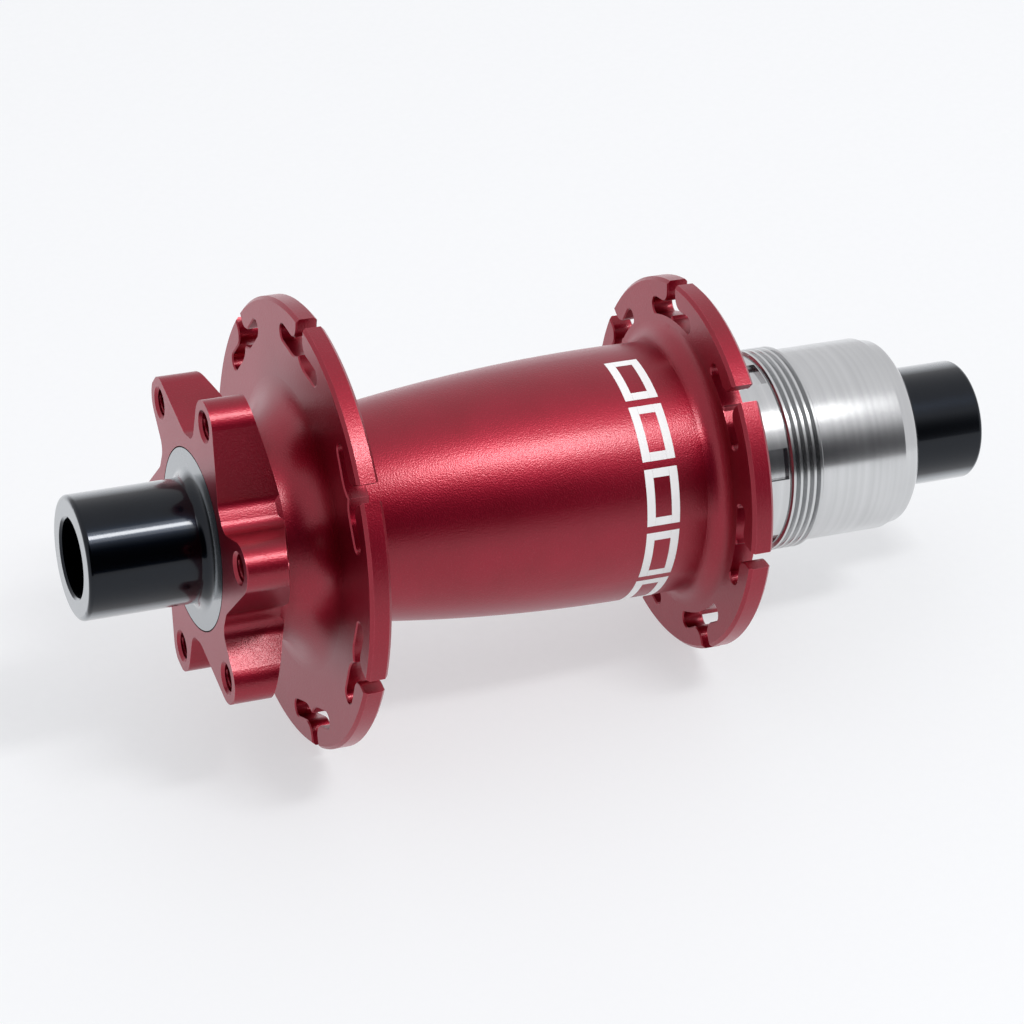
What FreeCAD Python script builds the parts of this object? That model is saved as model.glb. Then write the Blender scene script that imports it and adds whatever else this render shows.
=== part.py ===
"""Rear bicycle hub for a 148 mm wide, 12 mm thru-axle frame, with 28 spokes and a six-bolt disc brake.

The hub axis is Y and the origin is midway between the two end caps. +Y is the brake side, -Y is the
drive side and +Z is up, so +X is forward. Lengths are millimetres. An angle about the axis is measured
from +X towards +Z. Each piece is one file in parts/, and identical small pieces share a file.
"""
import FreeCAD
import Part

import math
import os

# Over the end caps
HALF_WIDTH = 74.0
BORE_R = 6.05
CAP_R = 9.5
CAP_EDGE = 0.7
CAP_FLARE = 1.6
CAP_BORE_EDGE = 0.35
CAP_GAP = 0.1
LEFT_CAP_SEAT_R = 9.3
RIGHT_CAP_SEAT_R = 9.8
RIGHT_CAP_FLANGE_R = 11.6
RIGHT_CAP_FLANGE_LIFT = 1.3

# Axle tube
AXLE_END_R = 7.5
AXLE_DRIVE_R = 8.5
AXLE_MIDDLE_R = 9.4
AXLE_WAIST_R = 8.2
CAP_OVERLAP = 9.6
CAP_SLIP = 0.02
CORD_R = 0.42

# Bearings: bore radius, outer radius, width, ball radius, balls
BEARING_15_28 = (7.5, 14.0, 7.0, 1.75, 11)
BEARING_17_30 = (8.5, 15.0, 7.0, 1.75, 12)
BEARING_17_26 = (8.5, 13.0, 5.0, 1.2, 14)
BALL_CLEARANCE = 0.06
SEAL_THICKNESS = 0.3
SEAL_INSET = 0.25

# Brake mount
DISC_FACE_Y = 55.2
DISC_BOLT_R = 22.0
DISC_BOLTS = 6
DISC_FIRST = 38.4
DISC_TAP_R = 2.1
LUG_TIP_R = 26.0
LUG_ROUND = 3.9
LUG_SWEEP = math.radians(27.5)
LUG_RIM_Y = 49.0
VALLEY_R = 16.3
VALLEY_FILLET = 2.6
NECK_R = 16.6
NECK_FLARE = 6.0

# Flanges: rim radius, inner face, outer face, angle of the first spoke slot
FLANGE_LEFT = (34.6, 36.35, 39.7, 37.6)
FLANGE_RIGHT = (29.5, -23.6, -27.1, 24.9)
RIM_CHAMFER = 0.5
SLOTS = 7
SEAT_ANGLE = math.radians(360.0 / 28)
SEAT_DEPTH = 5.15
SEAT_R = 1.35
SLOT_CORNER_R = 2.0
CUSP_DEPTH = 5.3
SLOT_CHAMFER = 0.2

# Barrel between the flanges
BARREL_RIGHT_R = 19.7
BARREL_CROWN_R = 19.38
BARREL_LEFT_R = 16.0
BARREL_CROWN_Y = 2.0
BARREL_FLARE = 3.0
SHELL_BORE_R = 12.6

# Ratchet
RATCHET_SEAT_R = 17.0
RATCHET_TEETH = 60
TOOTH_TIP_R = 14.4
TOOTH_ROOT_R = 15.2
RATCHET_RIGHT_Y = -24.9
RATCHET_LEFT_Y = -15.8
TOOTH_UNDERCUT = 0.35
TOOTH_RAMP_END = 0.9
PAWLS = 3
PAWL_FIRST = 25.7
PAWL_PIVOT_R = 11.9
PAWL_HEEL_R = 1.5
PAWL_LEAD = 23.4
PAWL_SLIP = 0.05
PAWL_FOLD = 9.0
PAWL_RIGHT_Y = -24.1
PAWL_LEFT_Y = -16.9

# Driver
DRIVER_LEFT_Y = -16.2
DRIVER_SEAL_R = 13.92
DRIVER_SHOULDER_Y = -27.4
DRIVER_SPLINE_R = 15.5
DRIVER_R = 15.3
DRIVER_END_Y = -59.8
DRIVER_TAPER_Y = -57.0
SPLINE_GROOVES = 6
SPLINE_FIRST = 155.5
SPLINE_ANGLE = 19.0
SPLINE_DEPTH = 0.75
SPLINE_END_Y = -36.55
THREAD_CREST_R = 16.0
THREAD_ROOT_R = 15.15
THREAD_PITCH = 1.17
THREAD_TURNS = 5
THREAD_START_Y = -37.3
THREAD_HALF_CREST = 0.2
THREAD_HALF_FOOT = 0.52
THREAD_RELIEF = 0.1
DRIVER_NECK_BORE_R = 9.35

ORIGIN = FreeCAD.Vector(0, 0, 0)
HUB_AXIS = FreeCAD.Vector(0, 1, 0)


class Path:
    """A closed outline of straight lines and arcs, in the plane of radius and Y or of X and Z."""

    def __init__(self, start, plane="ry"):
        """Start at a pair of coordinates."""
        self.plane = plane
        self.start = self.at = start
        self.edges = []

    def point(self, pair):
        """The space point of a pair of coordinates."""
        if self.plane == "ry":
            return FreeCAD.Vector(pair[0], pair[1], 0)
        return FreeCAD.Vector(pair[0], 0, pair[1])

    def line(self, *pairs):
        """Straight lines through each pair in turn."""
        for pair in pairs:
            self.edges.append(Part.LineSegment(self.point(self.at), self.point(pair)).toShape())
            self.at = pair
        return self

    def arc(self, middle, end):
        """An arc through a middle point to an end point."""
        curve = Part.Arc(self.point(self.at), self.point(middle), self.point(end))
        self.edges.append(curve.toShape())
        self.at = end
        return self

    def quarter(self, centre, end):
        """A quarter circle about a centre, from the present point to the end point."""
        radius = math.dist(centre, end)
        across = (self.at[0] + end[0] - 2 * centre[0], self.at[1] + end[1] - 2 * centre[1])
        scale = radius / math.hypot(*across)
        return self.arc((centre[0] + across[0] * scale, centre[1] + across[1] * scale), end)

    def face(self):
        """Close the outline and return its face."""
        if math.dist(self.at, self.start) > 1e-9:
            self.line(self.start)
        return Part.Face(Part.Wire(self.edges))


def turned(path):
    """The solid that an outline of radius and Y sweeps about the hub axis."""
    return path.face().revolve(ORIGIN, HUB_AXIS, 360)


def ring(inner_r, outer_r, y_a, y_b):
    """A plain ring between two radii and two Y positions."""
    return turned(Path((inner_r, y_a)).line((outer_r, y_a), (outer_r, y_b), (inner_r, y_b)))


def rod(radius, y_a, y_b):
    """A plain cylinder on the hub axis."""
    low = min(y_a, y_b)
    return Part.makeCylinder(radius, abs(y_b - y_a), FreeCAD.Vector(0, low, 0), HUB_AXIS)


def prism(path, y_a, y_b):
    """An outline of X and Z, pulled along the hub axis between two Y positions."""
    face = path.face()
    face.translate(FreeCAD.Vector(0, min(y_a, y_b), 0))
    return face.extrude(FreeCAD.Vector(0, abs(y_b - y_a), 0))


def turn_to(shape, angle):
    """A copy of a shape turned about the hub axis to an angle in degrees."""
    copy = shape.copy()
    copy.rotate(ORIGIN, HUB_AXIS, -angle)
    return copy


def spread(shape, count, first=0.0):
    """Copies of a shape at equal angles about the hub axis."""
    return [turn_to(shape, first + 360.0 * k / count) for k in range(count)]


def edges_on_plane(shape, y, keep):
    """The edges of a shape that lie in one plane across the hub axis and pass a test on their middle."""
    found = []
    for edge in shape.Edges:
        box = edge.BoundBox
        if abs(box.YMin - y) > 1e-4 or abs(box.YMax - y) > 1e-4:
            continue
        middle = edge.valueAt((edge.FirstParameter + edge.LastParameter) / 2)
        if keep(math.hypot(middle.x, middle.z)):
            found.append(edge)
    return found


class Bearing:
    """A sealed ball bearing on the hub axis."""

    def __init__(self, sizes, right_y):
        """Take its sizes and the Y of its drive-side face."""
        self.bore_r, self.outer_r, self.width, self.ball_r, self.count = sizes
        self.y_a = right_y
        self.y_b = right_y + self.width
        self.middle_y = right_y + self.width / 2
        self.pitch_r = (self.bore_r + self.outer_r) / 2
        self.land = 0.63 * self.ball_r

    def groove(self):
        """The ring-shaped track that the balls run in."""
        radius = self.ball_r + BALL_CLEARANCE
        return Part.makeTorus(self.pitch_r, radius, FreeCAD.Vector(0, self.middle_y, 0), HUB_AXIS)

    def inner_race(self):
        """The race on the axle."""
        return ring(self.bore_r, self.pitch_r - self.land, self.y_a, self.y_b).cut(self.groove())

    def outer_race(self):
        """The race in the housing."""
        return ring(self.pitch_r + self.land, self.outer_r, self.y_a, self.y_b).cut(self.groove())

    def ball_set(self):
        """All the balls, as separate solids."""
        centre = FreeCAD.Vector(self.pitch_r, self.middle_y, 0)
        return spread(Part.makeSphere(self.ball_r, centre), self.count)

    def cage(self):
        """The ring that keeps the balls apart, with a round window for each ball."""
        half_width = 1.27 * self.ball_r
        half_height = 0.34 * self.ball_r
        body = ring(self.pitch_r - half_height, self.pitch_r + half_height,
                    self.middle_y - half_width, self.middle_y + half_width)
        window = Part.makeCylinder(self.ball_r + BALL_CLEARANCE, 4 * half_height,
                                   FreeCAD.Vector(self.pitch_r - 2 * half_height, self.middle_y, 0),
                                   FreeCAD.Vector(1, 0, 0))
        return body.cut(Part.makeCompound(spread(window, self.count)))

    def seals(self):
        """The two rubber shields, held in the outer race and just clear of the inner race."""
        inner_r = self.pitch_r - self.land + BALL_CLEARANCE
        outer_r = self.pitch_r + self.land
        low = ring(inner_r, outer_r, self.y_a + SEAL_INSET, self.y_a + SEAL_INSET + SEAL_THICKNESS)
        high = ring(inner_r, outer_r, self.y_b - SEAL_INSET - SEAL_THICKNESS, self.y_b - SEAL_INSET)
        return Part.makeCompound([low, high])


LEFT_BEARING = Bearing(BEARING_15_28, 46.6)
RIGHT_BEARING = Bearing(BEARING_17_30, -15.0)
DRIVER_INNER_BEARING = Bearing(BEARING_17_26, -35.4)
DRIVER_OUTER_BEARING = Bearing(BEARING_17_26, -58.4)


def o_ring(y):
    """The rubber ring that holds an end cap on the axle."""
    radius = AXLE_END_R + CAP_SLIP - CORD_R
    return Part.makeTorus(radius, CORD_R, FreeCAD.Vector(0, y, 0), HUB_AXIS)


LEFT_O_RING_Y = LEFT_BEARING.y_b + 0.6 * CAP_OVERLAP
RIGHT_O_RING_Y = DRIVER_OUTER_BEARING.y_a - 0.6 * CAP_OVERLAP


def axle():
    """The stepped tube that every bearing sits on."""
    left_end = LEFT_BEARING.y_b + CAP_OVERLAP
    right_end = DRIVER_OUTER_BEARING.y_a - CAP_OVERLAP
    left_stop = LEFT_BEARING.y_a
    right_stop = RIGHT_BEARING.y_b
    step = AXLE_MIDDLE_R - AXLE_WAIST_R
    path = Path((BORE_R, left_end)).line(
        (AXLE_END_R - 0.4, left_end), (AXLE_END_R, left_end - 0.4),
        (AXLE_END_R, left_stop), (AXLE_MIDDLE_R, left_stop), (AXLE_MIDDLE_R, left_stop - 4),
        (AXLE_WAIST_R, left_stop - 4 - step), (AXLE_WAIST_R, right_stop + 4 + step),
        (AXLE_MIDDLE_R, right_stop + 4), (AXLE_MIDDLE_R, right_stop), (AXLE_DRIVE_R, right_stop),
        (AXLE_DRIVE_R, DRIVER_OUTER_BEARING.y_a), (AXLE_END_R, DRIVER_OUTER_BEARING.y_a),
        (AXLE_END_R, right_end + 0.4), (AXLE_END_R - 0.4, right_end), (BORE_R, right_end))
    body = turned(path)
    return body.cut(o_ring(LEFT_O_RING_Y)).cut(o_ring(RIGHT_O_RING_Y))


def end_cap(side, race_y, seat_r, flange_r, flange_y):
    """A cap that slips over the axle end, presses on a bearing's inner race and covers the bearing.

    side is 1 on the brake side and -1 on the drive side; flange_y is the flange's outer face."""
    socket_r = AXLE_END_R + CAP_SLIP
    socket_y = race_y + side * CAP_OVERLAP
    tip_y = side * HALF_WIDTH
    neck_y = race_y + side * 0.3
    path = Path((socket_r, race_y)).line(
        (seat_r, race_y), (seat_r, neck_y), (flange_r, neck_y), (flange_r, flange_y),
        (CAP_R + CAP_FLARE, flange_y))
    path.quarter((CAP_R + CAP_FLARE, flange_y + side * CAP_FLARE), (CAP_R, flange_y + side * CAP_FLARE))
    path.line((CAP_R, tip_y - side * CAP_EDGE))
    path.quarter((CAP_R - CAP_EDGE, tip_y - side * CAP_EDGE), (CAP_R - CAP_EDGE, tip_y))
    path.line((BORE_R + CAP_BORE_EDGE, tip_y), (BORE_R, tip_y - side * CAP_BORE_EDGE), (BORE_R, socket_y),
              (socket_r, socket_y))
    return turned(path)


def spoke_slot(rim_r, y_a, y_b):
    """The cutter for one spoke slot: a mouth in the rim that opens into a seat for a spoke each side."""
    top = rim_r - SEAT_DEPTH + SEAT_R
    bottom = rim_r - SEAT_DEPTH - SEAT_R
    seat = (rim_r - SEAT_DEPTH) * math.tan(SEAT_ANGLE)
    lobe = 0.43 * seat
    rise = rim_r - CUSP_DEPTH - bottom
    lobe_r = (lobe ** 2 + rise ** 2) / (2 * rise)
    half = 0.5 * math.asin(lobe / lobe_r)
    lobe_middle = (bottom + lobe_r * (1 - math.cos(half)), lobe - lobe_r * math.sin(half))
    corner = SLOT_CORNER_R * math.sqrt(0.5)
    corner_middle = (top + SLOT_CORNER_R - corner, SEAT_R + SLOT_CORNER_R - corner)

    def mirrored(pair):
        return (pair[0], -pair[1])

    path = Path((rim_r + 1, SEAT_R), "xz")
    path.line((top + SLOT_CORNER_R, SEAT_R))
    path.arc(corner_middle, (top, SEAT_R + SLOT_CORNER_R)).line((top, seat))
    path.arc((rim_r - SEAT_DEPTH, seat + SEAT_R), (bottom, seat)).line((bottom, lobe))
    path.arc(lobe_middle, (rim_r - CUSP_DEPTH, 0))
    path.arc(mirrored(lobe_middle), (bottom, -lobe)).line((bottom, -seat))
    path.arc((rim_r - SEAT_DEPTH, -seat - SEAT_R), (top, -seat)).line((top, -SEAT_R - SLOT_CORNER_R))
    path.arc(mirrored(corner_middle), (top + SLOT_CORNER_R, -SEAT_R)).line((rim_r + 1, -SEAT_R))
    return prism(path, y_a, y_b)


def flange(sizes):
    """One spoke flange as a disc with chamfered rim and seven slots."""
    rim_r, inner_y, outer_y, first = sizes
    way = 1 if outer_y > inner_y else -1
    disc = turned(Path((SHELL_BORE_R + 5, inner_y)).line(
        (rim_r - RIM_CHAMFER, inner_y), (rim_r, inner_y + way * RIM_CHAMFER),
        (rim_r, outer_y - way * RIM_CHAMFER), (rim_r - RIM_CHAMFER, outer_y),
        (SHELL_BORE_R + 5, outer_y)))
    cutter = spoke_slot(rim_r, inner_y - way, outer_y + way)
    disc = disc.cut(Part.makeCompound(spread(cutter, SLOTS, first)))

    def in_slot(radius):
        return rim_r - SEAT_DEPTH - 2 * SEAT_R < radius < rim_r - RIM_CHAMFER - 0.05

    edges = edges_on_plane(disc, outer_y, in_slot) + edges_on_plane(disc, inner_y, in_slot)
    return disc.makeChamfer(SLOT_CHAMFER, edges)


def brake_mount():
    """The six swept lugs that carry the brake disc, joined to a round core."""
    run = LUG_TIP_R - LUG_ROUND
    tangent = (run + LUG_ROUND * math.sin(LUG_SWEEP), LUG_ROUND * math.cos(LUG_SWEEP))
    inside = VALLEY_R - 3.3
    foot = (inside, tangent[1] + (tangent[0] - inside) * math.tan(LUG_SWEEP))
    lug = Path((inside, -LUG_ROUND), "xz").line((run, -LUG_ROUND))
    lug.arc((LUG_TIP_R, 0), tangent).line(foot)
    back_y = 40.0
    star = rod(VALLEY_R, back_y, DISC_FACE_Y)
    star = star.fuse(spread(prism(lug, back_y, DISC_FACE_Y), DISC_BOLTS, DISC_FIRST)).removeSplitter()
    corners = []
    for edge in star.Edges:
        middle = edge.valueAt((edge.FirstParameter + edge.LastParameter) / 2)
        along_axis = edge.BoundBox.YLength > 0.9 * (DISC_FACE_Y - back_y)
        if along_axis and abs(math.hypot(middle.x, middle.z) - VALLEY_R) < 0.02:
            corners.append(edge)
    star = star.makeFillet(VALLEY_FILLET, corners)
    blank = turned(Path((0, DISC_FACE_Y)).line(
        (LUG_TIP_R - 0.2, DISC_FACE_Y), (LUG_TIP_R + 0.1, DISC_FACE_Y - 0.3),
        (LUG_TIP_R + 0.1, LUG_RIM_Y), (NECK_R, 45.7), (0, 45.7)))
    star = star.common(blank)
    hole = Part.makeCylinder(DISC_TAP_R, 20, FreeCAD.Vector(DISC_BOLT_R, DISC_FACE_Y - 18, 0), HUB_AXIS)
    sink = Part.makeCone(DISC_TAP_R, DISC_TAP_R + 0.9, 0.9,
                         FreeCAD.Vector(DISC_BOLT_R, DISC_FACE_Y - 0.45, 0), HUB_AXIS)
    return star.cut(Part.makeCompound(spread(hole.fuse(sink), DISC_BOLTS, DISC_FIRST)))


def hub_shell():
    """The machined shell: brake mount, two slotted flanges and the crowned barrel between them."""
    left_rim_r, left_inner_y, left_outer_y, _ = FLANGE_LEFT
    _, right_inner_y, right_outer_y, _ = FLANGE_RIGHT
    flare_left_y = left_inner_y - BARREL_FLARE
    flare_right_y = right_inner_y + BARREL_FLARE
    neck_y = left_outer_y + NECK_FLARE
    body = Path((SHELL_BORE_R, DISC_FACE_Y)).line((VALLEY_R, DISC_FACE_Y), (VALLEY_R, 46.5))
    body.line((NECK_R, neck_y))
    body.quarter((NECK_R + NECK_FLARE, neck_y), (NECK_R + NECK_FLARE, left_outer_y))
    body.line((NECK_R + NECK_FLARE + 1, left_outer_y), (NECK_R + NECK_FLARE + 1, left_inner_y))
    body.line((BARREL_LEFT_R + BARREL_FLARE, left_inner_y))
    body.quarter((BARREL_LEFT_R + BARREL_FLARE, flare_left_y), (BARREL_LEFT_R, flare_left_y))
    body.arc((BARREL_CROWN_R, BARREL_CROWN_Y), (BARREL_RIGHT_R, flare_right_y))
    body.quarter((BARREL_RIGHT_R + BARREL_FLARE, flare_right_y),
                 (BARREL_RIGHT_R + BARREL_FLARE, right_inner_y))
    body.line((BARREL_RIGHT_R + BARREL_FLARE + 1, right_inner_y),
              (BARREL_RIGHT_R + BARREL_FLARE + 1, right_outer_y), (SHELL_BORE_R, right_outer_y))
    bores = Path((0, DISC_FACE_Y + 1)).line(
        (LEFT_BEARING.outer_r + CAP_GAP, DISC_FACE_Y + 1), (LEFT_BEARING.outer_r + CAP_GAP, LEFT_BEARING.y_b),
        (LEFT_BEARING.outer_r, LEFT_BEARING.y_b), (LEFT_BEARING.outer_r, LEFT_BEARING.y_a),
        (SHELL_BORE_R, LEFT_BEARING.y_a), (SHELL_BORE_R, RIGHT_BEARING.y_b),
        (RIGHT_BEARING.outer_r, RIGHT_BEARING.y_b), (RIGHT_BEARING.outer_r, RATCHET_LEFT_Y),
        (RATCHET_SEAT_R, RATCHET_LEFT_Y), (RATCHET_SEAT_R, right_outer_y - 1), (0, right_outer_y - 1))
    shell = turned(body).fuse([flange(FLANGE_LEFT), flange(FLANGE_RIGHT), brake_mount()])
    return shell.cut(turned(bores)).removeSplitter()


def ratchet_ring():
    """The toothed ring in the shell that the pawls push."""
    pitch = 2 * math.pi / RATCHET_TEETH
    path = None
    for k in range(RATCHET_TEETH):
        for radius, share in ((TOOTH_TIP_R, 0.0), (TOOTH_ROOT_R, TOOTH_UNDERCUT),
                              (TOOTH_TIP_R, TOOTH_RAMP_END)):
            angle = (k + share) * pitch
            pair = (radius * math.cos(angle), radius * math.sin(angle))
            path = path.line(pair) if path else Path(pair, "xz")
    teeth = prism(path, RATCHET_RIGHT_Y, RATCHET_LEFT_Y)
    return rod(RATCHET_SEAT_R, RATCHET_RIGHT_Y, RATCHET_LEFT_Y).cut(teeth)


def at_pivot(pairs):
    """Outline points given ahead of and out from the hub axis, for a pawl whose pivot is at angle zero."""
    return [(out, -ahead) for ahead, out in pairs]


def ahead_by(radius, angle):
    """A point on a radius, an angle in degrees ahead of the pawl's pivot."""
    return (radius * math.sin(math.radians(angle)), radius * math.cos(math.radians(angle)))


def pawl():
    """One pawl, folded down just clear of the ratchet teeth, with its pivot at angle zero.

    The outline is drawn with the tip home in a tooth, and then turned down about the pivot."""
    nose_r = TOOTH_ROOT_R - 0.2
    pairs = at_pivot([(0, PAWL_PIVOT_R + PAWL_HEEL_R), (3.9, 13.35),
                      ahead_by(TOOTH_TIP_R - 0.2, PAWL_LEAD - 2.6), ahead_by(nose_r, PAWL_LEAD),
                      ahead_by(nose_r - 1.1, PAWL_LEAD), (4.9, PAWL_PIVOT_R - 0.1),
                      (0, PAWL_PIVOT_R - PAWL_HEEL_R)])
    blade = prism(Path(pairs[0], "xz").line(*pairs[1:]), PAWL_RIGHT_Y, PAWL_LEFT_Y)
    pivot = FreeCAD.Vector(PAWL_PIVOT_R, PAWL_RIGHT_Y, 0)
    heel = Part.makeCylinder(PAWL_HEEL_R, PAWL_LEFT_Y - PAWL_RIGHT_Y, pivot, HUB_AXIS)
    piece = blade.fuse(heel).removeSplitter()
    piece.rotate(pivot, HUB_AXIS, PAWL_FOLD)
    return piece


def pawl_pocket():
    """The space in the driver for one pawl and its spring, with the pivot at angle zero."""
    low = PAWL_PIVOT_R - 1.9
    pairs = at_pivot([(0, 16), (6.55, 16), (6.55, low), (0, low)])
    well = prism(Path(pairs[0], "xz").line(*pairs[1:]), PAWL_RIGHT_Y - 0.3, PAWL_LEFT_Y + 0.2)
    socket = Part.makeCylinder(PAWL_HEEL_R + PAWL_SLIP, PAWL_LEFT_Y - PAWL_RIGHT_Y + 0.5,
                               FreeCAD.Vector(PAWL_PIVOT_R, PAWL_RIGHT_Y - 0.3, 0), HUB_AXIS)
    return well.fuse(socket)


def pawl_spring():
    """The leaf under one pawl."""
    low = PAWL_PIVOT_R - 1.9
    pairs = at_pivot([(0.9, low), (3.0, low), (5.6, low + 0.6), (5.55, low + 0.85), (2.95, low + 0.25),
                      (0.9, low + 0.25)])
    return prism(Path(pairs[0], "xz").line(*pairs[1:]), PAWL_RIGHT_Y + 1.2, PAWL_LEFT_Y - 1.2)


def driver_body():
    """The cassette driver: pawl carrier inside the shell, then splines, thread and plain barrel."""
    bearing_r = DRIVER_INNER_BEARING.outer_r
    path = Path((DRIVER_NECK_BORE_R, DRIVER_LEFT_Y)).line(
        (DRIVER_SEAL_R - 0.3, DRIVER_LEFT_Y), (DRIVER_SEAL_R, DRIVER_LEFT_Y - 0.3),
        (DRIVER_SEAL_R, DRIVER_SHOULDER_Y), (DRIVER_SPLINE_R - 0.3, DRIVER_SHOULDER_Y),
        (DRIVER_SPLINE_R, DRIVER_SHOULDER_Y - 0.3),
        (DRIVER_SPLINE_R, THREAD_START_Y + THREAD_HALF_FOOT + THREAD_RELIEF))
    for k in range(THREAD_TURNS):
        crest_y = THREAD_START_Y - k * THREAD_PITCH
        path.line((THREAD_ROOT_R, crest_y + THREAD_HALF_FOOT), (THREAD_CREST_R, crest_y + THREAD_HALF_CREST),
                  (THREAD_CREST_R, crest_y - THREAD_HALF_CREST), (THREAD_ROOT_R, crest_y - THREAD_HALF_FOOT))
    thread_end = THREAD_START_Y - (THREAD_TURNS - 1) * THREAD_PITCH - THREAD_HALF_FOOT
    path.line((DRIVER_R, thread_end - THREAD_RELIEF))
    end = DRIVER_END_Y
    circlip_y = DRIVER_OUTER_BEARING.y_a
    path.line((DRIVER_R, DRIVER_TAPER_Y), (DRIVER_R - 0.25, DRIVER_TAPER_Y - 0.1),
              (DRIVER_R - 0.6, end + 0.5), (DRIVER_R - 1.2, end), (bearing_r + 0.2, end),
              (bearing_r, end + 0.2), (bearing_r, circlip_y - 1.0), (bearing_r + 0.5, circlip_y - 1.0),
              (bearing_r + 0.5, circlip_y), (bearing_r, circlip_y), (bearing_r, DRIVER_INNER_BEARING.y_b),
              (DRIVER_NECK_BORE_R, DRIVER_INNER_BEARING.y_b))
    body = turned(path)
    half = math.radians(SPLINE_ANGLE / 2)
    far = DRIVER_SPLINE_R + 3
    near = DRIVER_SPLINE_R - SPLINE_DEPTH
    wall = near * math.sin(half)
    groove = Path((near * math.cos(half), -wall), "xz").arc((near, 0), (near * math.cos(half), wall))
    groove.line((far, wall * 1.08), (far, -wall * 1.08))
    grooves = spread(prism(groove, SPLINE_END_Y, DRIVER_SHOULDER_Y + 1), SPLINE_GROOVES, SPLINE_FIRST)
    keep_clear = rod(DRIVER_SEAL_R, DRIVER_SHOULDER_Y, DRIVER_SHOULDER_Y + 2)
    cutters = [groove.cut(keep_clear) for groove in grooves] + spread(pawl_pocket(), PAWLS, PAWL_FIRST)
    return body.cut(Part.makeCompound(cutters))


def circlip():
    """The split ring that keeps the outer bearing in the driver."""
    y_b = DRIVER_OUTER_BEARING.y_a - 0.05
    y_a = y_b - 0.9
    whole = ring(DRIVER_OUTER_BEARING.outer_r - 0.95, DRIVER_OUTER_BEARING.outer_r + 0.45, y_a, y_b)
    gap = Part.makeBox(6, 4, 4.2, FreeCAD.Vector(10, y_a - 1, -2.1))
    return whole.cut(turn_to(gap, 90))


def pieces():
    """Every piece of the hub by name."""
    inner, outer = DRIVER_INNER_BEARING, DRIVER_OUTER_BEARING
    sleeve_y = (outer.y_b, inner.y_a)
    made = {
        "axle": axle(),
        "left_end_cap": end_cap(1, LEFT_BEARING.y_b, LEFT_CAP_SEAT_R,
                                LEFT_BEARING.outer_r - CAP_GAP, DISC_FACE_Y),
        "right_end_cap": end_cap(-1, outer.y_a, RIGHT_CAP_SEAT_R, RIGHT_CAP_FLANGE_R,
                                 outer.y_a - RIGHT_CAP_FLANGE_LIFT),
        "left_cap_o_ring": o_ring(LEFT_O_RING_Y),
        "right_cap_o_ring": o_ring(RIGHT_O_RING_Y),
        "inner_race_sleeve": ring(AXLE_DRIVE_R, 9.6, *sleeve_y),
        "ratchet_sleeve": ring(AXLE_DRIVE_R, 9.1, inner.y_b, RIGHT_BEARING.y_a),
        "hub_shell": hub_shell(),
        "ratchet_ring": ratchet_ring(),
        "driver_seal": ring(DRIVER_SEAL_R + 0.07, RATCHET_SEAT_R, FLANGE_RIGHT[2] + 0.2, RATCHET_RIGHT_Y),
        "driver_body": driver_body(),
        "outer_race_sleeve": ring(inner.outer_r - 0.9, inner.outer_r, *sleeve_y),
        "driver_circlip": circlip(),
        "pawl_springs": Part.makeCompound(spread(pawl_spring(), PAWLS, PAWL_FIRST)),
    }
    for number, piece in enumerate(spread(pawl(), PAWLS, PAWL_FIRST), start=1):
        made[f"pawl_{number}"] = piece
    bearings = {"left_bearing": LEFT_BEARING, "right_bearing": RIGHT_BEARING,
                "driver_inner_bearing": inner, "driver_outer_bearing": outer}
    for name, bearing in bearings.items():
        made[f"{name}_inner_race"] = bearing.inner_race()
        made[f"{name}_outer_race"] = bearing.outer_race()
        made[f"{name}_balls"] = Part.makeCompound(bearing.ball_set())
        made[f"{name}_cage"] = bearing.cage()
        made[f"{name}_seals"] = bearing.seals()
    return made


os.makedirs("parts", exist_ok=True)
for piece_name, piece_shape in pieces().items():
    piece_shape.exportStep(f"parts/{piece_name}.step")
    print(piece_name, "solids", len(piece_shape.Solids), "valid", piece_shape.isValid(),
          "volume", round(piece_shape.Volume, 1))
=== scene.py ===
"""Looks of a rear wheel hub with a six-bolt brake mount and a threaded cassette driver.

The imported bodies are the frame. This file lights them in a plain studio, sets
the camera, gives every body its finish, and adds what shows only up close: the
print on the barrel and the threads cut in the brake bolt holes.

Sizes are in millimetres until a mesh is made. The axle lies along Y, with the
brake side at +Y.
"""
from __future__ import annotations

import logging
import math
from dataclasses import dataclass, field
from enum import Enum
from typing import Any, Iterable

import bmesh
import bpy
from mathutils import Matrix, Vector


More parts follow.
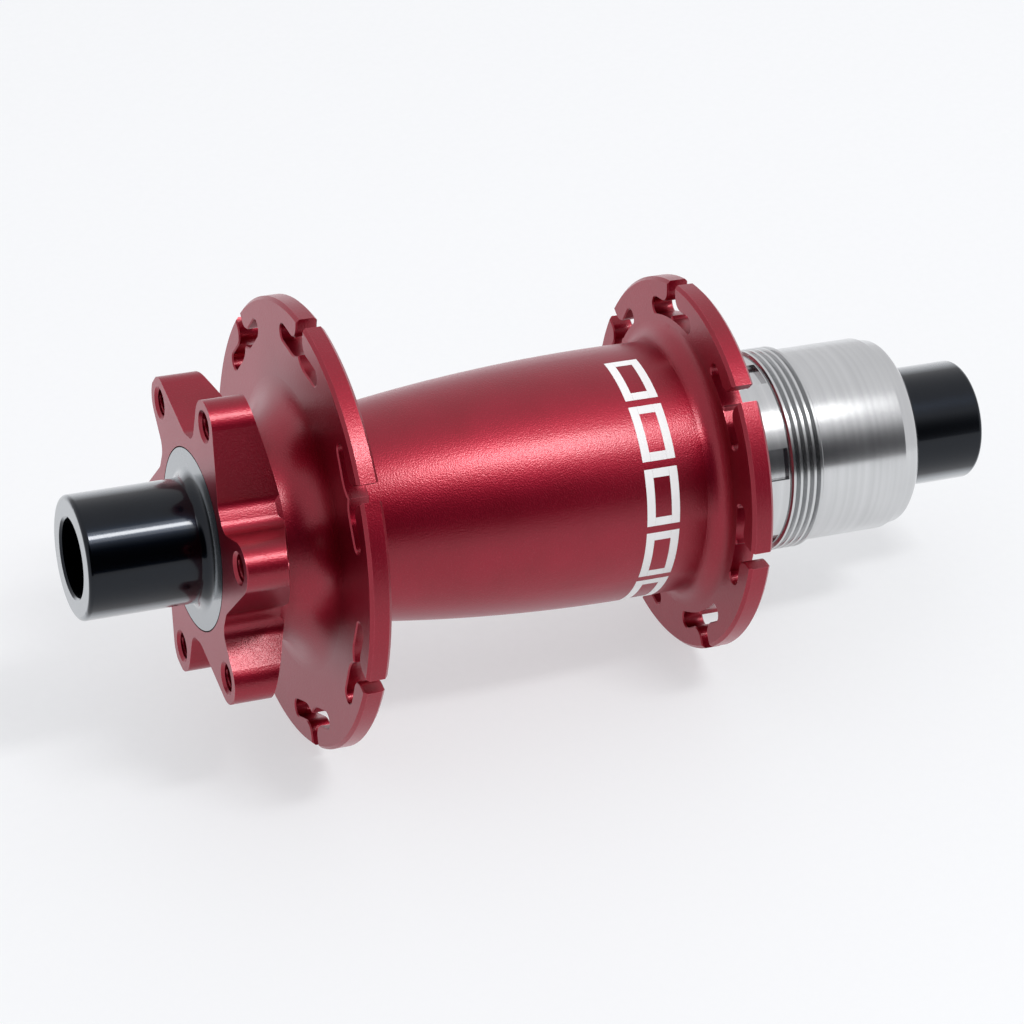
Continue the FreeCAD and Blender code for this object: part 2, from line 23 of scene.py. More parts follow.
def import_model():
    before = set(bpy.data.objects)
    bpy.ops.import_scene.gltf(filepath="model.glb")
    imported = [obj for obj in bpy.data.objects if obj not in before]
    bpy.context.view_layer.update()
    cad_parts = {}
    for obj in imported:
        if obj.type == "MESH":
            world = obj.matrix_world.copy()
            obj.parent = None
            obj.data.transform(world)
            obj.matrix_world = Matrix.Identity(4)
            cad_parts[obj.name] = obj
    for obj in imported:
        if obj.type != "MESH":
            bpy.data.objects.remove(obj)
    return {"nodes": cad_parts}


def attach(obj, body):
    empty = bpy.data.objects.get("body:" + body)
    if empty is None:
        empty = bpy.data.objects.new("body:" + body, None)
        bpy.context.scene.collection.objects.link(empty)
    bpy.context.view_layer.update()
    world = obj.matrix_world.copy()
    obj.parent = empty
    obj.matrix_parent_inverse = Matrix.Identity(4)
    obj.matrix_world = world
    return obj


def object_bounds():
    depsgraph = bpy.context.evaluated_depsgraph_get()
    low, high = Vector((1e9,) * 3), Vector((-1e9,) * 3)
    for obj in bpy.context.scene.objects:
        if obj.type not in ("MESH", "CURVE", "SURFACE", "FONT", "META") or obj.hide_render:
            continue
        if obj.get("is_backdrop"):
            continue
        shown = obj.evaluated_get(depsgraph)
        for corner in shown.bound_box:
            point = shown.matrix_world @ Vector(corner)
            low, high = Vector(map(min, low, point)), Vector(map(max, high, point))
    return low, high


log = logging.getLogger("hub")

MM = 0.001
AXLE_LINE = Vector((0.0, 1.0, 0.0))
SMOOTH_BELOW = math.radians(35.0)
Colour = tuple[float, float, float]
Point = tuple[float, float, float]


class Slot(Enum):
    """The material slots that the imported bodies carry."""

    RED_ANODISED = "red_anodised"
    BLACK_ANODISED = "black_anodised"
    TURNED_STEEL = "turned_steel"
    AXLE_ALLOY = "axle_alloy"
    BEARING_STEEL = "bearing_steel"
    TOOL_STEEL = "tool_steel"
    SPRING_STEEL = "spring_steel"
    NITRILE = "nitrile"
    CAGE_NYLON = "cage_nylon"


class Body(Enum):
    """The moving body that the new pieces ride on."""

    SHELL = "shell_set"


# ---------------------------------------------------------------- finishes


class Recipe:
    """One material's nodes, with short ways to add and join them."""

    def __init__(self, name: str) -> None:
        """Starts a material.

        Args:
            name: The material's name.
        """
        self.material = bpy.data.materials.new(name)
        self.material.use_nodes = True
        self.tree = self.material.node_tree
        self.shader = self.tree.nodes["Principled BSDF"]
        self.place = self.tree.nodes.new("ShaderNodeTexCoord").outputs["Object"]

    def node(self, kind: str, feeds: dict[str | int, Any], **settings: Any) -> bpy.types.Node:
        """Adds a node.

        Args:
            kind: The node's type name.
            feeds: What each input gets, either another node's output or a value.
            **settings: Properties to set on the node.

        Returns:
            The new node.
        """
        made = self.tree.nodes.new(kind)
        for name, value in settings.items():
            setattr(made, name, value)
        for key, value in feeds.items():
            self.feed(made.inputs[key], value)
        return made

    def feed(self, socket: bpy.types.NodeSocket, value: Any) -> None:
        """Joins an output to a socket, or sets the socket's own value."""
        if isinstance(value, bpy.types.NodeSocket):
            self.tree.links.new(value, socket)
        else:
            socket.default_value = value

    def paint(self, **values: Any) -> None:
        """Feeds the surface shader's sockets, named with underscores for spaces."""
        for name, value in values.items():
            self.feed(self.shader.inputs[name.replace("_", " ")], value)

    def maths(self, operation: str, *values: Any) -> bpy.types.NodeSocket:
        """Joins values with one arithmetic step and returns the result's socket."""
        feeds = dict(enumerate(values))
        return self.node("ShaderNodeMath", feeds, operation=operation).outputs[0]

    def grain(self, size: float, detail: float = 2.0,
              stretch: Point = (1.0, 1.0, 1.0)) -> bpy.types.NodeSocket:
        """Adds a noise over the surface.

        Args:
            size: How large one blotch is, in millimetres.
            detail: How many finer layers lie on the first.
            stretch: How much longer the blotches are along each axis.

        Returns:
            A value from 0 to 1, about a half on average.
        """
        squeeze = tuple(1.0 / s for s in stretch)
        spot = self.node("ShaderNodeMapping", {"Vector": self.place, "Scale": squeeze})
        feeds = {"Vector": spot.outputs[0], "Scale": 1.0 / (size * MM), "Detail": detail}
        return self.node("ShaderNodeTexNoise", feeds).outputs["Fac"]

    def lathe_rings(self, pitch: float, detail: float = 2.0) -> bpy.types.NodeSocket:
        """Adds the rings that a lathe leaves round the axle line, on barrels and faces alike.

        Args:
            pitch: The usual space between two rings, in millimetres.
            detail: How many finer layers lie on the first.

        Returns:
            A value from 0 to 1 that is the same all the way round.
        """
        parts = self.node("ShaderNodeSeparateXYZ", {0: self.place})
        across = self.maths("MULTIPLY", parts.outputs["X"], parts.outputs["X"])
        up = self.maths("MULTIPLY", parts.outputs["Z"], parts.outputs["Z"])
        radius = self.maths("SQRT", self.maths("ADD", across, up))
        crowding = 0.7
        travel = self.maths("MULTIPLY_ADD", radius, crowding, parts.outputs["Y"])
        feeds = {"W": travel, "Scale": 1.0 / (pitch * MM), "Detail": detail}
        return self.node("ShaderNodeTexNoise", feeds, noise_dimensions="1D").outputs["Fac"]

    def between(self, value: Any, low: float, high: float, start: float = 0.3,
                end: float = 0.7) -> bpy.types.NodeSocket:
        """Maps a value on to a range.

        Args:
            value: The socket to map.
            low: The result where the value is at start.
            high: The result where the value is at end.
            start: The value that gives low.
            end: The value that gives high.

        Returns:
            The mapped value's socket.
        """
        feeds = {"Value": value, "From Min": start, "From Max": end, "To Min": low, "To Max": high}
        return self.node("ShaderNodeMapRange", feeds).outputs["Result"]

    def tint(self, amount: Any, first: Any, second: Any) -> bpy.types.NodeSocket:
        """Blends two colours, each a plain colour or a socket, and returns the result's socket."""
        blend = self.node("ShaderNodeMix", {"Factor": amount}, data_type="RGBA")
        for name, colour in (("A", first), ("B", second)):
            plain = not isinstance(colour, bpy.types.NodeSocket)
            self.feed(blend.inputs[name], (*colour, 1.0) if plain else colour)
        return blend.outputs["Result"]

    def edges(self, width: float) -> bpy.types.NodeSocket:
        """Finds the corners of a body.

        Args:
            width: How far from a corner still counts, in millimetres.

        Returns:
            A value that is 0 on open surface and rises towards a corner.
        """
        rounded = self.node("ShaderNodeBevel", {"Radius": width * MM}, samples=4)
        flat = self.node("ShaderNodeNewGeometry", {})
        feeds = {0: rounded.outputs["Normal"], 1: flat.outputs["Normal"]}
        facing = self.node("ShaderNodeVectorMath", feeds, operation="DOT_PRODUCT")
        return self.maths("SUBTRACT", 1.0, facing.outputs["Value"])

    def relief(self, *layers: tuple[bpy.types.NodeSocket, float]) -> None:
        """Gives the surface its fine relief.

        Args:
            *layers: Height sockets, each with its full depth in millimetres.
        """
        normal: Any = None
        for height, depth in layers:
            feeds: dict[str | int, Any] = {"Height": height, "Distance": depth * MM, "Strength": 1.0}
            if normal is not None:
                feeds["Normal"] = normal
            normal = self.node("ShaderNodeBump", feeds).outputs["Normal"]
        self.feed(self.shader.inputs["Normal"], normal)


@dataclass(frozen=True)
class DyedAnodising:
    """Aluminium that was blasted or turned, dyed and sealed under a clear oxide skin.

    The grazing colour is a painted sheen, blended in where the surface turns away from the view, and the
    rim colours its last sheen.
    The edge colour shows on specks and where corners are rubbed. Sizes are in millimetres.
    """

    name: str
    dye: Colour
    faded_dye: Colour
    edge: Colour
    roughness: tuple[float, float]
    skin_roughness: float
    skin_index: float
    painted_grazing_sheen: Colour
    rim: Colour
    grain_size: float
    grain_depth: float
    ring_pitch: float
    ring_depth: float
    cloud_size: float = 9.0
    smear_size: float = 14.0
    smear_stretch: Point = (1.0, 2.5, 1.0)
    corner_width: float = 0.22
    rub_size: float = 2.2
    rub_strength: float = 0.75
    speck_strength: float = 0.12

    def make(self) -> bpy.types.Material:
        """Builds the material.

        Returns:
            The finished material.
        """
        recipe = Recipe(self.name)
        cloud = recipe.grain(self.cloud_size, detail=3.0)
        sparkle = recipe.grain(self.grain_size, detail=1.0)
        body = recipe.tint(recipe.between(cloud, 0.0, 1.0), self.dye, self.faded_dye)
        specks = recipe.between(sparkle, 0.0, self.speck_strength, start=0.55, end=0.8)
        specked = recipe.tint(specks, body, self.edge)
        patches = recipe.between(recipe.grain(self.rub_size), 0.2, 1.6)
        rubbed = recipe.maths("MULTIPLY", recipe.edges(self.corner_width), patches)
        wear = recipe.between(rubbed, 0.0, self.rub_strength, start=0.02, end=0.3)
        worn = recipe.tint(wear, specked, self.edge)
        # Painted sheen: the base colour turns towards the grazing colour where the surface is seen at a
        # glancing angle.
        glancing = recipe.node("ShaderNodeLayerWeight", {"Blend": 0.5}).outputs["Facing"]
        painted_sheen_mask = recipe.between(glancing, 0.0, 1.0, start=0.52, end=0.68)
        with_painted_sheen = recipe.tint(painted_sheen_mask, worn, self.painted_grazing_sheen)
        smear = recipe.grain(self.smear_size, detail=4.0, stretch=self.smear_stretch)
        low, high = self.roughness
        recipe.paint(
            Base_Color=with_painted_sheen,
            Metallic=1.0,
            Roughness=recipe.between(smear, low, high),
            Coat_Weight=1.0,
            Coat_Roughness=self.skin_roughness,
            Coat_IOR=self.skin_index,
            Specular_Tint=(*self.rim, 1.0),
        )
        rings = recipe.lathe_rings(self.ring_pitch)
        recipe.relief((sparkle, self.grain_depth), (rings, self.ring_depth))
        relief = recipe.shader.inputs["Normal"].links[0].from_socket
        recipe.feed(recipe.shader.inputs["Coat Normal"], relief)
        return recipe.material


@dataclass(frozen=True)
class TurnedMetal:
    """Bare metal with the rings of the lathe tool still in it."""

    name: str
    colour: Colour
    shade: Colour
    roughness: tuple[float, float]
    ring_pitch: float
    ring_depth: float
    anisotropy: float
    band_rings: float = 9.0
    band_share: float = 0.6
    stain_size: float = 9.0

    def make(self) -> bpy.types.Material:
        """Builds the material.

        Returns:
            The finished material.
        """
        recipe = Recipe(self.name)
        rings = recipe.lathe_rings(self.ring_pitch)
        bands = recipe.lathe_rings(self.ring_pitch * self.band_rings, detail=3.0)
        stain = recipe.grain(self.stain_size, detail=2.0)
        stain_part = recipe.maths("MULTIPLY", stain, 1.0 - self.band_share)
        mottle = recipe.maths("MULTIPLY_ADD", bands, self.band_share, stain_part)
        low, high = self.roughness
        recipe.paint(
            Base_Color=recipe.tint(recipe.between(mottle, 0.0, 1.0), self.colour, self.shade),
            Metallic=1.0,
            Roughness=recipe.between(stain, low, high),
            Anisotropic=self.anisotropy,
        )
        lay = recipe.node("ShaderNodeTangent", {}, direction_type="RADIAL", axis="Y")
        recipe.feed(recipe.shader.inputs["Tangent"], lay.outputs["Tangent"])
        recipe.relief((rings, self.ring_depth))
        return recipe.material


@dataclass(frozen=True)
class GroundSteel:
    """Hardened steel that was ground and oiled, for races, balls, pawls and springs."""

    name: str
    colour: Colour
    film: Colour
    roughness: tuple[float, float]
    scratch_depth: float
    scratch_size: float = 0.12
    scratch_stretch: Point = (1.0, 12.0, 1.0)
    oil_size: float = 3.0
    corner_width: float = 0.15

    def make(self) -> bpy.types.Material:
        """Builds the material.

        Returns:
            The finished material.
        """
        recipe = Recipe(self.name)
        scratches = recipe.grain(self.scratch_size, detail=3.0, stretch=self.scratch_stretch)
        oil = recipe.grain(self.oil_size, detail=4.0)
        worn = recipe.between(recipe.edges(self.corner_width), 0.0, 0.7, start=0.02, end=0.3)
        oiled = recipe.between(oil, 0.0, 1.0, start=0.4, end=0.65)
        film = recipe.tint(oiled, self.colour, self.film)
        low, high = self.roughness
        recipe.paint(
            Base_Color=recipe.tint(worn, film, self.colour),
            Metallic=1.0,
            Roughness=recipe.between(oil, low, high),
        )
        recipe.relief((scratches, self.scratch_depth))
        return recipe.material


@dataclass(frozen=True)
class Moulded:
    """Moulded rubber, nylon or screen ink: no metal, with a fine skin texture."""

    name: str
    colour: Colour
    dust: Colour
    roughness: tuple[float, float]
    skin_size: float
    skin_depth: float
    bloom_size: float = 4.0

    def make(self) -> bpy.types.Material:
        """Builds the material.

        Returns:
            The finished material.
        """
        recipe = Recipe(self.name)
        bloom = recipe.grain(self.bloom_size, detail=4.0)
        skin = recipe.grain(self.skin_size, detail=2.0)
        low, high = self.roughness
        recipe.paint(
            Base_Color=recipe.tint(recipe.between(bloom, 0.0, 1.0), self.colour, self.dust),
            Roughness=recipe.between(skin, low, high),
        )
        recipe.relief((skin, self.skin_depth))
        return recipe.material


FINISHES = {
    # The grazing colours are painted sheen: pale on the black caps, nearly the dye itself on the red.
    Slot.RED_ANODISED: DyedAnodising(
        "red_anodising", dye=(0.27, 0.0010, 0.016), faded_dye=(0.31, 0.0018, 0.021),
        edge=(0.62, 0.07, 0.11), painted_grazing_sheen=(0.27, 0.003, 0.02), rim=(0.95, 0.55, 0.62),
        roughness=(0.43, 0.49), skin_roughness=0.26, skin_index=1.45,
        grain_size=0.23, grain_depth=0.030, ring_pitch=0.35, ring_depth=0.0006),
    Slot.BLACK_ANODISED: DyedAnodising(
        "black_anodising", dye=(0.0020, 0.0042, 0.0085), faded_dye=(0.0035, 0.0060, 0.0110),
        edge=(0.045, 0.050, 0.058), painted_grazing_sheen=(0.27, 0.29, 0.31), rim=(1.0, 1.0, 1.0),
        roughness=(0.20, 0.30), skin_roughness=0.10, skin_index=1.36,
        grain_size=0.12, grain_depth=0.0004, ring_pitch=0.22, ring_depth=0.0006),
    Slot.TURNED_STEEL: TurnedMetal(
        "turned_steel", colour=(0.64, 0.645, 0.65), shade=(0.56, 0.565, 0.57),
        roughness=(0.14, 0.19), ring_pitch=0.12, ring_depth=0.0005, anisotropy=0.4),
    Slot.AXLE_ALLOY: TurnedMetal(
        "axle_alloy", colour=(0.80, 0.80, 0.81), shade=(0.70, 0.70, 0.72),
        roughness=(0.22, 0.34), ring_pitch=0.18, ring_depth=0.0012, anisotropy=0.3),
    Slot.BEARING_STEEL: GroundSteel(
        "bearing_steel", colour=(0.66, 0.65, 0.64), film=(0.52, 0.50, 0.47),
        roughness=(0.08, 0.16), scratch_depth=0.0002),
    Slot.TOOL_STEEL: GroundSteel(
        "tool_steel", colour=(0.46, 0.45, 0.44), film=(0.20, 0.19, 0.19),
        roughness=(0.24, 0.36), scratch_depth=0.0010),
    Slot.SPRING_STEEL: GroundSteel(
        "spring_steel", colour=(0.50, 0.49, 0.47), film=(0.26, 0.25, 0.28),
        roughness=(0.18, 0.30), scratch_depth=0.0008),
    Slot.NITRILE: Moulded(
        "nitrile", colour=(0.010, 0.010, 0.011), dust=(0.028, 0.027, 0.026),
        roughness=(0.45, 0.62), skin_size=0.10, skin_depth=0.002),
    Slot.CAGE_NYLON: Moulded(
        "cage_nylon", colour=(0.60, 0.55, 0.42), dust=(0.50, 0.45, 0.33),
        roughness=(0.40, 0.52), skin_size=0.14, skin_depth=0.002),
}
SCREEN_INK = Moulded(
    "screen_ink", colour=(0.95, 0.95, 0.95), dust=(0.90, 0.90, 0.90),
    roughness=(0.42, 0.55), skin_size=0.10, skin_depth=0.0015)


# ---------------------------------------------------------------- making meshes


def new_piece(name: str, bm: bmesh.types.BMesh, body: Body,
              material: bpy.types.Material) -> None:
    """Turns a mesh being built into a piece that rides on a body.

    Args:
        name: The piece's name.
        bm: The mesh, in millimetres. It is freed.
        body: The body that the piece moves with.
        material: The piece's material.
    """
    bmesh.ops.recalc_face_normals(bm, faces=bm.faces)
    bmesh.ops.scale(bm, vec=(MM, MM, MM), verts=bm.verts)
    for face in bm.faces:
        face.smooth = True
    for edge in bm.edges:
        edge.smooth = len(edge.link_faces) == 2 and edge.calc_face_angle(0.0) < SMOOTH_BELOW
    mesh = bpy.data.meshes.new(name)
    bm.to_mesh(mesh)
    bm.free()
    mesh.materials.append(material)
    piece = bpy.data.objects.new(name, mesh)
    bpy.context.scene.collection.objects.link(piece)
    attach(piece, body.value)
    log.info("%s: %d faces", name, len(mesh.polygons))


def around(radius: float, degrees: float, y: float) -> Vector:
    """Returns the point at a radius and angle round the axle line, in millimetres."""
    turn = math.radians(degrees)
    return Vector((radius * math.cos(turn), y, radius * math.sin(turn)))


class Frame:
    """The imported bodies, with the finishes that dress them."""

    def __init__(self) -> None:
        """Loads the frame and makes every finish."""
        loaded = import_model()
        self.nodes: dict[str, bpy.types.Object] = loaded["nodes"]
        self.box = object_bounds()
        self.materials = {slot: finish.make() for slot, finish in FINISHES.items()}

    def dress(self, names: Iterable[str], slot: Slot) -> None:
        """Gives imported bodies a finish.

        Args:
            names: The bodies' names.
            slot: The finish's slot.
        """
        for name in names:
            for place in self.nodes[name].material_slots:
                place.material = self.materials[slot]
            log.info("%s: %s", name, slot.value)


# ---------------------------------------------------------------- sub-assemblies


@dataclass
class HubShell:
    """The red shell, with the print on its barrel and the threads in its brake mount.

    The barrel's outline is one long arc, given by three stations of (y, radius).
    Angles are in degrees round the axle line. Each ink patch starts a little under
    the barrel's surface, which is ink_sink, and stands ink_lift above it.
    """

    stations: tuple[tuple[float, float], ...] = ((-20.6, 19.7), (2.0, 19.38), (33.35, 16.0))
    print_edges: tuple[float, float] = (-15.9, -10.5)
    print_start: float = 87.5
    print_cell: float = 29.2
    print_cells: int = 5
    print_gap: float = 3.4
    print_stroke: float = 1.35
    print_radius: float = 19.8
    ink_lift: float = 0.02
    ink_sink: float = 0.01
    ink_joint: float = 0.02
    ink_step: float = 0.5
    ink_turn: float = 1.0
    bolt_circle: float = 22.0
    bolt_first: float = 38.4
    bolt_count: int = 6
    bolt_face: float = 55.2
    bolt_depth: float = 6.2
    thread_pitch: float = 0.8
    thread_wall: float = 2.17
    thread_crest: float = 2.02
    thread_start: float = 0.9
    thread_short: float = 1.4
    foot_share: float = 0.42
    crest_half: float = 0.05
    steps_per_turn: int = 24

    def barrel_radius(self, y: float) -> float:
        """Returns the barrel's radius at a place along the axle."""
        (y1, r1), (y2, r2), (y3, r3) = self.stations
        double_area = 2.0 * (y1 * (r2 - r3) + y2 * (r3 - r1) + y3 * (r1 - r2))
        s1, s2, s3 = y1 * y1 + r1 * r1, y2 * y2 + r2 * r2, y3 * y3 + r3 * r3
        centre_y = (s1 * (r2 - r3) + s2 * (r3 - r1) + s3 * (r1 - r2)) / double_area
        centre_r = (s1 * (y3 - y2) + s2 * (y1 - y3) + s3 * (y2 - y1)) / double_area
        return centre_r + math.sqrt((y1 - centre_y) ** 2 + (r1 - centre_r) ** 2 - (y - centre_y) ** 2)

    def ink_patch(self, bm: bmesh.types.BMesh, low: float, high: float, start: float, end: float) -> None:
        """Lays one patch of ink on the barrel.

        Args:
            bm: The mesh to add to.
            low: The patch's edge nearer the driver.
            high: The patch's edge nearer the brake.
            start: The angle where it starts, in degrees.
            end: The angle where it ends.
        """
        steps = max(2, round((high - low) / self.ink_step))
        line = []
        for i in range(steps + 1):
            y = low + (high - low) * i / steps
            line.append(bm.verts.new(around(self.barrel_radius(y) - self.ink_sink, start, y)))
        edges = [bm.edges.new(pair) for pair in zip(line, line[1:])]
        before = set(bm.faces)
        bmesh.ops.spin(bm, geom=line + edges, cent=(0, 0, 0), axis=-AXLE_LINE, dvec=(0, 0, 0),
                       angle=math.radians(end - start),
                       steps=max(2, round((end - start) / self.ink_turn)),
                       use_merge=False, use_duplicate=False)
        patch = [face for face in bm.faces if face not in before]
        bmesh.ops.recalc_face_normals(bm, faces=patch)
        if patch[0].normal.dot(patch[0].calc_center_median()) < 0:
            bmesh.ops.reverse_faces(bm, faces=patch)
        raised = bmesh.ops.extrude_face_region(bm, geom=patch, use_keep_orig=True)
        for vert in (v for v in raised["geom"] if isinstance(v, bmesh.types.BMVert)):
            outward = Vector((vert.co.x, 0.0, vert.co.z)).normalized()
            vert.co += outward * (self.ink_lift + self.ink_sink)
        bmesh.ops.reverse_faces(bm, faces=patch)

    def printed_band(self) -> None:
        """Prints a row of plain open frames round the barrel."""
        bm = bmesh.new()
        low, high = self.print_edges
        stroke = self.print_stroke
        narrow = math.degrees(stroke / self.print_radius)
        inner_low, inner_high = low + stroke + self.ink_joint, high - stroke - self.ink_joint
        for cell in range(self.print_cells):
            start = self.print_start + cell * self.print_cell
            end = start + self.print_cell - self.print_gap
            self.ink_patch(bm, low, low + stroke, start, end)
            self.ink_patch(bm, high - stroke, high, start, end)
            self.ink_patch(bm, inner_low, inner_high, start, start + narrow)
            self.ink_patch(bm, inner_low, inner_high, end - narrow, end)
        new_piece("printed_band", bm, Body.SHELL, SCREEN_INK.make())

    def bolt_threads(self, frame: Frame) -> None:
        """Lines each brake bolt hole with the ridge of a screw thread."""
        bm = bmesh.new()
        turns = (self.bolt_depth - self.thread_short) / self.thread_pitch
        half = self.foot_share * self.thread_pitch
        apart = 360.0 / self.bolt_count
        for k in range(self.bolt_count):
            angle = self.bolt_first + apart * k
            centre = around(self.bolt_circle, angle, self.bolt_face - self.thread_start)
            corners = [Vector((self.thread_wall, -half, 0)),
                       Vector((self.thread_crest, -self.crest_half, 0)),
                       Vector((self.thread_crest, self.crest_half, 0)),
                       Vector((self.thread_wall, half, 0))]
            profile = bm.faces.new([bm.verts.new(centre + corner) for corner in corners])
            geom = [profile, *profile.edges, *profile.verts]
            bmesh.ops.spin(bm, geom=geom, cent=centre, axis=AXLE_LINE,
                           dvec=(0, -self.thread_pitch / self.steps_per_turn, 0),
                           angle=2 * math.pi * turns, steps=round(self.steps_per_turn * turns),
                           use_merge=False, use_duplicate=False)
        red = frame.materials[Slot.RED_ANODISED]
        new_piece("brake_bolt_threads", bm, Body.SHELL, red)

    def build(self, frame: Frame) -> None:
        """Dresses the shell and adds its print and threads."""
        frame.dress(["hub_shell"], Slot.RED_ANODISED)
        self.printed_band()
        self.bolt_threads(frame)


@dataclass
class EndCaps:
    """The two black caps that sit in the bicycle's dropouts, and their O-rings."""

    caps: tuple[str, ...] = ("left_end_cap", "right_end_cap")
    rings: tuple[str, ...] = ("left_cap_o_ring", "right_cap_o_ring")

    def build(self, frame: Frame) -> None:
        """Dresses the caps and their rings."""
        frame.dress(self.caps, Slot.BLACK_ANODISED)
        frame.dress(self.rings, Slot.NITRILE)


@dataclass
class CassetteDriver:
    """The bare steel body that carries the sprockets, with its seal, springs and circlip."""

    def build(self, frame: Frame) -> None:
        """Dresses the driver's parts."""
        frame.dress(["driver_body"], Slot.TURNED_STEEL)
        frame.dress(["driver_circlip", "pawl_springs"], Slot.SPRING_STEEL)
        frame.dress(["driver_seal"], Slot.NITRILE)


@dataclass
class Ratchet:
    """The toothed ring in the shell and the three pawls that catch in it."""

    pawl_count: int = 3

    def build(self, frame: Frame) -> None:
        """Dresses the ring and the pawls."""
        pawls = [f"pawl_{k + 1}" for k in range(self.pawl_count)]
        frame.dress(["ratchet_ring", *pawls], Slot.TOOL_STEEL)


@dataclass
class Axle:
    """The hollow axle and the sleeves that space its bearings."""

    sleeves: tuple[str, ...] = ("inner_race_sleeve", "outer_race_sleeve", "ratchet_sleeve")

    def build(self, frame: Frame) -> None:
        """Dresses the axle and its sleeves."""
        frame.dress(["axle", *self.sleeves], Slot.AXLE_ALLOY)


@dataclass
class BallBearing:
    """One sealed cartridge bearing."""

    name: str

    def build(self, frame: Frame) -> None:
        """Dresses the races, balls, cage and seals."""
        steel = [f"{self.name}_{part}" for part in ("inner_race", "outer_race", "balls")]
        frame.dress(steel, Slot.BEARING_STEEL)
        frame.dress([f"{self.name}_cage"], Slot.CAGE_NYLON)
        frame.dress([f"{self.name}_seals"], Slot.NITRILE)


# ---------------------------------------------------------------- studio


@dataclass
class SoftBox:
    """A flat rectangular lamp that faces a point."""

    name: str
    place: Point
    aim: Point
    width: float
    length: float
    power: float
    colour: Colour = (1.0, 1.0, 1.0)

    def build(self) -> None:
        """Adds the lamp, with its length along the axle line."""
        lamp = bpy.data.lights.new(self.name, "AREA")
        lamp.shape = "RECTANGLE"
        lamp.size, lamp.size_y = self.width * MM, self.length * MM
        lamp.energy = self.power
        lamp.color = self.colour
        stand = bpy.data.objects.new(self.name, lamp)
        bpy.context.scene.collection.objects.link(stand)
        back = (Vector(self.place) - Vector(self.aim)).normalized()
        across = AXLE_LINE.cross(back).normalized()
        along = back.cross(across)
        turn = Matrix((across, along, back)).transposed().to_4x4()
        stand.matrix_world = Matrix.Translation(Vector(self.place) * MM) @ turn


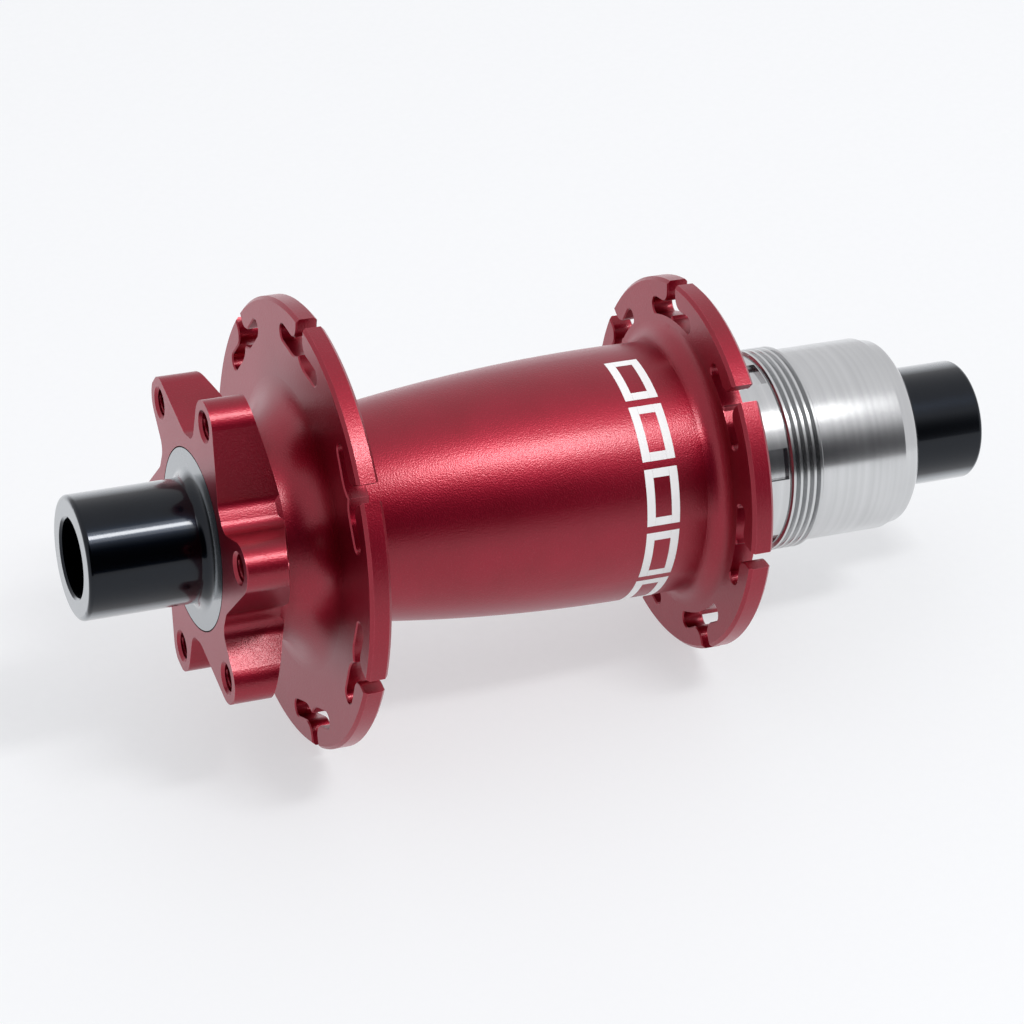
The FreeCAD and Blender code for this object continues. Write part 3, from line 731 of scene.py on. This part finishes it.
@dataclass
class Studio:
    """A pale, softly glowing table in a pale room that is dark on one side.

    The hub lies on both its flanges, so the table leans a little from its frame.
    """

    table_up: Point = (0.0, 0.0801, 0.9968)
    table_rest: Point = (0.0, -26.6, -29.5)
    table_size: float = 6000.0
    table_glow: float = 0.55
    glow_tint: Colour = (0.97, 0.98, 1.0)
    table_paint: Colour = (0.38, 0.385, 0.39)
    faded_paint: Colour = (0.36, 0.365, 0.37)
    room: Colour = (0.82, 0.82, 0.84)
    dark: Colour = (0.015, 0.015, 0.02)
    dark_towards: Point = (-0.943, 0.105, 0.314)
    dark_edge: tuple[float, float] = (0.70, 0.87)
    lamps: list[SoftBox] = field(default_factory=lambda: [
        SoftBox("key_box", (-390.0, -240.0, 860.0), (0.0, 0.0, 0.0), 105.0, 300.0, 3.0),
        SoftBox("key_scrim", (-396.0, -244.0, 872.0), (0.0, 0.0, 0.0), 340.0, 420.0, 1.3),
    ])

    def white_table(self) -> bpy.types.Material:
        """Returns the table's matt sheet, which glows softly and has a trace of mottle."""
        recipe = Recipe("white_table")
        cloud = recipe.between(recipe.grain(300.0, detail=3.0), 0.0, 1.0)
        recipe.paint(
            Base_Color=recipe.tint(cloud, self.table_paint, self.faded_paint),
            Roughness=recipe.between(recipe.grain(1.5), 0.55, 0.7),
            Emission_Color=(*self.glow_tint, 1.0),
            Emission_Strength=self.table_glow,
        )
        return recipe.material

    def table(self) -> None:
        """Adds the table top."""
        bm = bmesh.new()
        bmesh.ops.create_grid(bm, x_segments=2, y_segments=2, size=self.table_size / 2 * MM)
        up = Vector(self.table_up).normalized()
        lean = Vector((0, 0, 1)).rotation_difference(up).to_matrix().to_4x4()
        bmesh.ops.transform(bm, matrix=lean, verts=bm.verts)
        bmesh.ops.translate(bm, vec=Vector(self.table_rest) * MM, verts=bm.verts)
        mesh = bpy.data.meshes.new("table_top")
        bm.to_mesh(mesh)
        bm.free()
        mesh.materials.append(self.white_table())
        top = bpy.data.objects.new("table_top", mesh)
        bpy.context.scene.collection.objects.link(top)
        top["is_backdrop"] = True

    def air(self) -> None:
        """Fills the room with soft light that fades on the dark side."""
        world = bpy.data.worlds.new("pale_room")
        world.use_nodes = True
        bpy.context.scene.world = world
        tree = world.node_tree
        way = tree.nodes.new("ShaderNodeTexCoord").outputs["Generated"]
        facing = tree.nodes.new("ShaderNodeVectorMath")
        facing.operation = "DOT_PRODUCT"
        facing.inputs[1].default_value = Vector(self.dark_towards).normalized()
        fade = tree.nodes.new("ShaderNodeMapRange")
        fade.interpolation_type = "SMOOTHSTEP"
        fade.inputs["From Min"].default_value, fade.inputs["From Max"].default_value = self.dark_edge
        blend = tree.nodes.new("ShaderNodeMix")
        blend.data_type = "RGBA"
        blend.inputs["A"].default_value = (*self.room, 1.0)
        blend.inputs["B"].default_value = (*self.dark, 1.0)
        tree.links.new(way, facing.inputs[0])
        tree.links.new(facing.outputs["Value"], fade.inputs["Value"])
        tree.links.new(fade.outputs["Result"], blend.inputs["Factor"])
        tree.links.new(blend.outputs["Result"], tree.nodes["Background"].inputs["Color"])

    def build(self) -> None:
        """Sets the table, the room's light and the lamps."""
        self.table()
        self.air()
        for lamp in self.lamps:
            lamp.build()
        bpy.context.scene.view_settings.view_transform = "Standard"


@dataclass
class ViewCamera:
    """A long-lens camera, level with the leaning table."""

    place: Point = (-444.45, 210.19, 314.58)
    back: Point = (-0.7598, 0.3540, 0.5453)
    up: Point = (0.5299, -0.1487, 0.8349)
    lens: float = 132.65
    sensor: float = 36.0
    reach: tuple[float, float] = (0.01, 50.0)

    def build(self) -> None:
        """Adds the camera and makes it the scene's own."""
        data = bpy.data.cameras.new("view_camera")
        data.lens = self.lens
        data.sensor_width = self.sensor
        data.clip_start, data.clip_end = self.reach
        camera = bpy.data.objects.new("view_camera", data)
        bpy.context.scene.collection.objects.link(camera)
        back = Vector(self.back).normalized()
        right = Vector(self.up).cross(back).normalized()
        turn = Matrix((right, back.cross(right), back)).transposed().to_4x4()
        camera.matrix_world = Matrix.Translation(Vector(self.place) * MM) @ turn
        bpy.context.scene.camera = camera


def main() -> None:
    """Builds the studio, dresses the hub and adds its fine pieces."""
    logging.basicConfig(level=logging.INFO, format="%(name)s: %(message)s")
    frame = Frame()
    ViewCamera().build()
    Studio().build()
    bearings = [BallBearing(name) for name in
                ("left_bearing", "right_bearing", "driver_inner_bearing", "driver_outer_bearing")]
    for assembly in (Axle(), EndCaps(), HubShell(), Ratchet(), CassetteDriver(), *bearings):
        assembly.build(frame)


if __name__ == "__main__":
    main()
